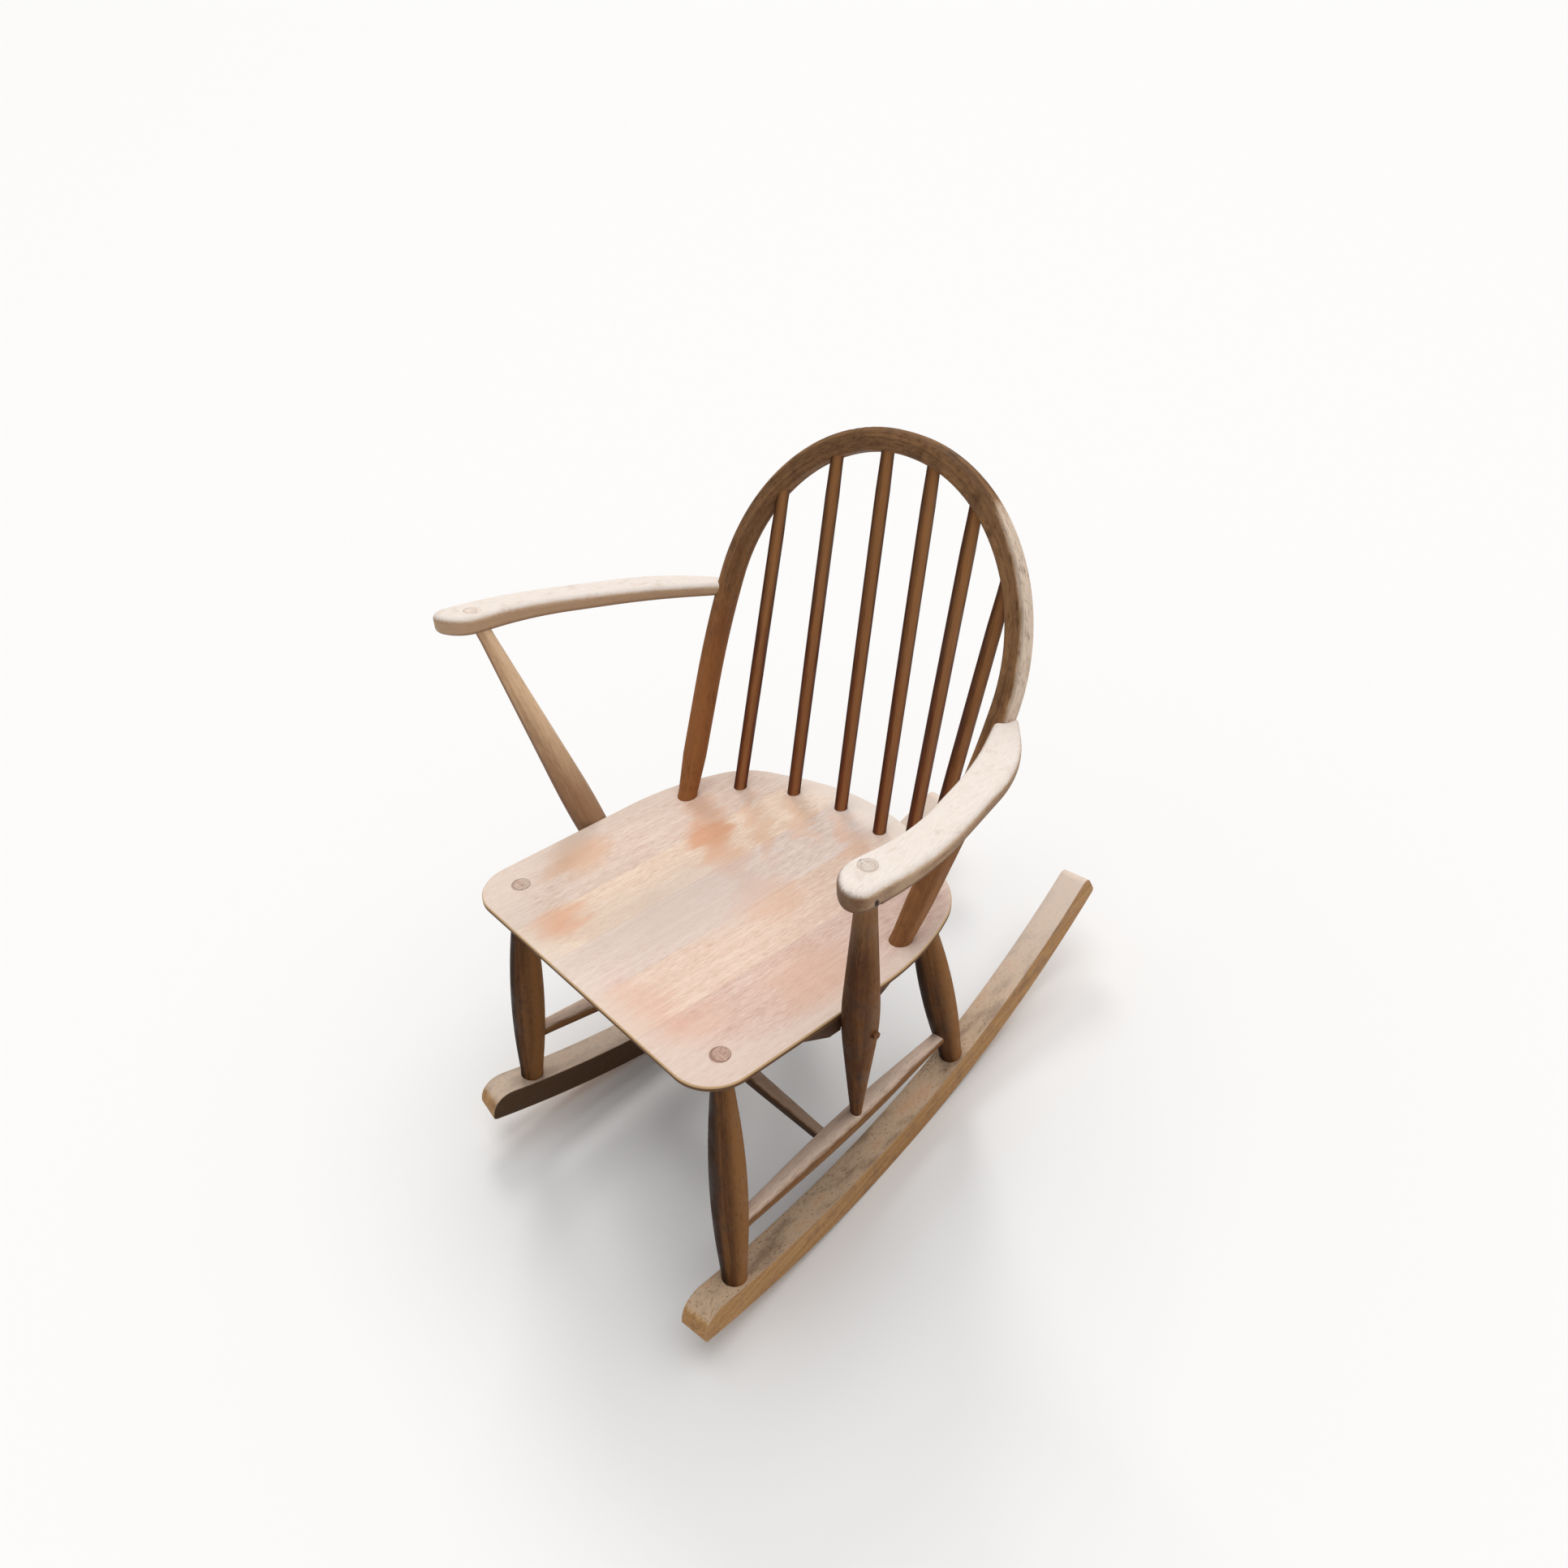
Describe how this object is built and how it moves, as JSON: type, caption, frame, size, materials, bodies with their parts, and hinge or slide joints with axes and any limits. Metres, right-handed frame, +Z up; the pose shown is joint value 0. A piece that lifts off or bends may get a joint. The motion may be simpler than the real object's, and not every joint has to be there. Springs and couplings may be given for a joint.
{
  "type": "rocking chair",
  "caption": "Low rocking armchair with a plank seat, a bent hoop back with upright sticks, bowed arms on raked posts and turned legs on two curved rockers.",
  "frame": {"origin": "centre of the footprint at floor level, below the middle of the overall box, with the chair at rest on its rockers", "axes": "+X to the sitter's left, -Y to the front, +Z up"},
  "size_m": [0.629, 0.7009, 0.7044],
  "materials": {
    "seat": "worn, dry, sun-bleached",
    "hoop": "satin, worn",
    "sticks": "satin, worn",
    "arms": "bleached, worn",
    "turnings": "satin, worn",
    "rockers": "dry, worn",
    "pegs": "end grain, dry"
  },
  "bodies": {
    "root": {"arm_dowel_left": "pegs", "arm_dowel_right": "pegs", "arm_left": "arms", "arm_post_left": "turnings", "arm_post_right": "turnings", "arm_post_wedge_left": "pegs", "arm_post_wedge_right": "pegs", "arm_right": "arms", "back_stick_1": "sticks", "back_stick_2": "sticks", "back_stick_3": "sticks", "back_stick_4": "sticks", "back_stick_5": "sticks", "back_stick_6": "sticks", "cross_stretcher": "turnings", "front_leg_left": "turnings", "front_leg_right": "turnings", "front_leg_wedge_left": "pegs", "front_leg_wedge_right": "pegs", "hoop": "hoop", "rear_leg_left": "turnings", "rear_leg_right": "turnings", "rocker_left": "rockers", "rocker_right": "rockers", "seat_board_1": "seat", "seat_board_2": "seat", "seat_board_3": "seat", "seat_board_4": "seat", "seat_board_5": "seat", "seat_edge_dowel_left": "pegs", "seat_edge_dowel_right": "pegs", "side_stretcher_left": "turnings", "side_stretcher_right": "turnings"}
  },
  "joints": []
}
